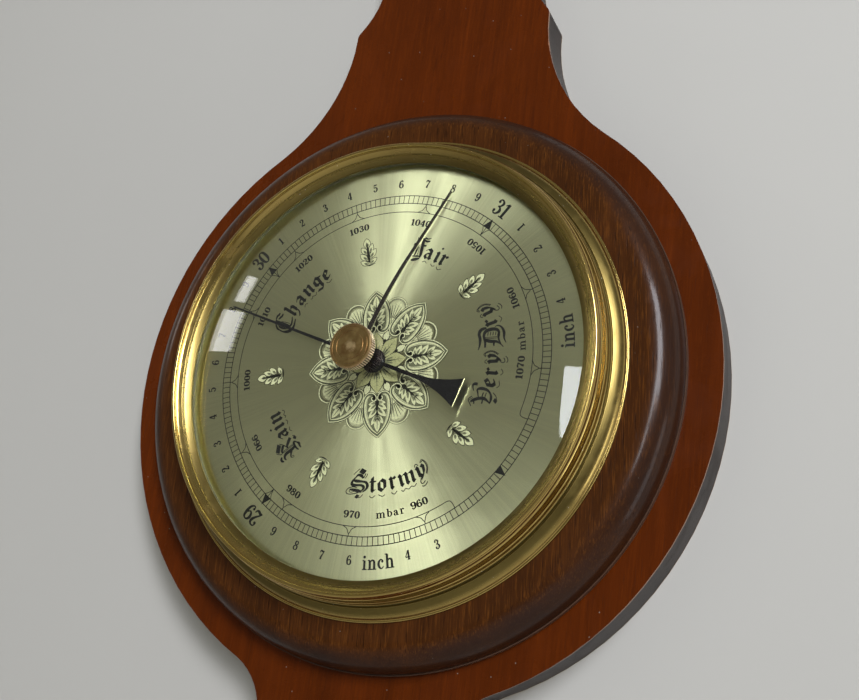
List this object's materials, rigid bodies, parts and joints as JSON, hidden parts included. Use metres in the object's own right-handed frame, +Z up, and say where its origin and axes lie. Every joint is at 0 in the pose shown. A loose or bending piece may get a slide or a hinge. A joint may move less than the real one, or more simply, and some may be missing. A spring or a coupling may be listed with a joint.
{
  "type": "barometer",
  "caption": "Wall barometer on a banjo shaped wooden board, with brass bezel, domed glass, set hand and a working aneroid movement behind the dial.",
  "frame": {"origin": "centre of the round hole in the hanger plate, in the plane of the wall", "axes": "+Z up the neck, -Y out of the wall towards the viewer, X level along the wall; the wall is the plane y = 0"},
  "size_m": [0.2, 0.0479, 0.537],
  "materials": {
    "board_edge": "dark stained edge, satin",
    "veneer": "red brown mahogany veneer, satin lacquer",
    "ring_wood": "dark open grained wood, waxed",
    "bezel_brass": "polished and lacquered",
    "plain_brass": "plain, lightly brushed",
    "aged_brass": "aged brown",
    "clear_glass": "clear, polished",
    "gasket_rubber": "matt black",
    "dark_metal": "dark bronzed",
    "spacer_card": "pressed grey board",
    "dial_metal": "radially brushed, pale champagne, lacquered",
    "steel": "plain",
    "drum_steel": "zinc plated, dull",
    "blued_steel": "blued spring steel",
    "capsule_metal": "pale, dull",
    "hand_black": "black gloss",
    "red_liquid": "dyed spirit"
  },
  "bodies": {
    "case": {"backboard": "board_edge", "front_veneer": "veneer", "turned_ring": "ring_wood", "hanger_plate": "plain_brass", "hanger_screws": "steel", "movement_drum": "drum_steel", "drum_clips": "steel", "clip_screws": "plain_brass", "bezel": "bezel_brass", "glass": "clear_glass", "glass_gasket": "gasket_rubber", "glass_bush": "aged_brass", "bush_nut": "dark_metal", "dial_spacer": "spacer_card", "dial_plate": "dial_metal", "base_plate": "plain_brass", "base_plate_screws": "steel", "capsule_base": "capsule_metal", "spring_pillar": "plain_brass", "spring_cap": "plain_brass", "spring_cap_screws": "steel", "bridge_pillars": "plain_brass", "lower_bridge": "plain_brass", "upper_bridge": "plain_brass", "bridge_screws": "steel", "rocker_bracket": "plain_brass", "hairspring": "blued_steel", "hairspring_stud": "plain_brass", "thermometer_scale": "dial_metal", "thermometer_tube": "clear_glass", "thermometer_liquid": "red_liquid", "tube_clips": "plain_brass", "scale_screws": "aged_brass"},
    "adjuster": {"adjusting_screw": "plain_brass"},
    "capsule": {"capsule_top": "capsule_metal", "capsule_post": "steel"},
    "spring": {"main_spring": "blued_steel", "transfer_lever": "steel", "lever_link": "steel"},
    "rocker": {"rocker_shaft": "steel", "rocker_crank": "plain_brass", "rocker_arm": "plain_brass"},
    "sector": {"sector_gear": "plain_brass", "sector_arbor": "steel"},
    "pointer": {"centre_arbor": "steel", "hairspring_collet": "plain_brass", "indicating_hand": "hand_black", "hand_boss": "hand_black"},
    "setter": {"set_hand": "dark_metal", "set_spindle": "aged_brass", "set_hand_nut": "aged_brass", "set_knob": "aged_brass"}
  },
  "joints": [
    {"name": "pointer_turn", "type": "hinge", "parent": "case", "child": "pointer", "pos_m": [0, -0.026, -0.334], "axis": [0, 1, 0], "range_deg": [-144.9, 179.1], "stiffness_Nm_per_rad": 0.003},
    {"name": "sector_turn", "type": "hinge", "parent": "case", "child": "sector", "pos_m": [0, -0.024, -0.3604], "axis": [0, 1, 0], "range_deg": [-18, 14.6]},
    {"name": "rocker_turn", "type": "hinge", "parent": "case", "child": "rocker", "pos_m": [-0.00111, -0.018, -0.3645], "axis": [0, 0, 1], "range_deg": [-10.8, 13.3]},
    {"name": "spring_flex", "type": "hinge", "parent": "case", "child": "spring", "pos_m": [0, -0.014, -0.308], "axis": [1, 0, 0], "range_deg": [-0.71, 0.87]},
    {"name": "capsule_breathe", "type": "slide", "parent": "case", "child": "capsule", "axis": [0, 1, 0], "range_m": [-0.00033, 0.0004]},
    {"name": "set_turn", "type": "hinge", "parent": "case", "child": "setter", "pos_m": [0, -0.044, -0.334], "axis": [0, 1, 0], "continuous": true},
    {"name": "adjuster_turn", "type": "hinge", "parent": "case", "child": "adjuster", "pos_m": [0, -0.003, -0.334], "axis": [0, 1, 0], "continuous": true}
  ],
  "couplings": [
    {"joint": "sector_turn", "follows": "pointer_turn", "ratio": -0.1},
    {"joint": "rocker_turn", "follows": "pointer_turn", "ratio": 0.0737},
    {"joint": "spring_flex", "follows": "pointer_turn", "ratio": 0.004794},
    {"joint": "capsule_breathe", "follows": "pointer_turn", "m_per_rad": 0.00012464}
  ]
}
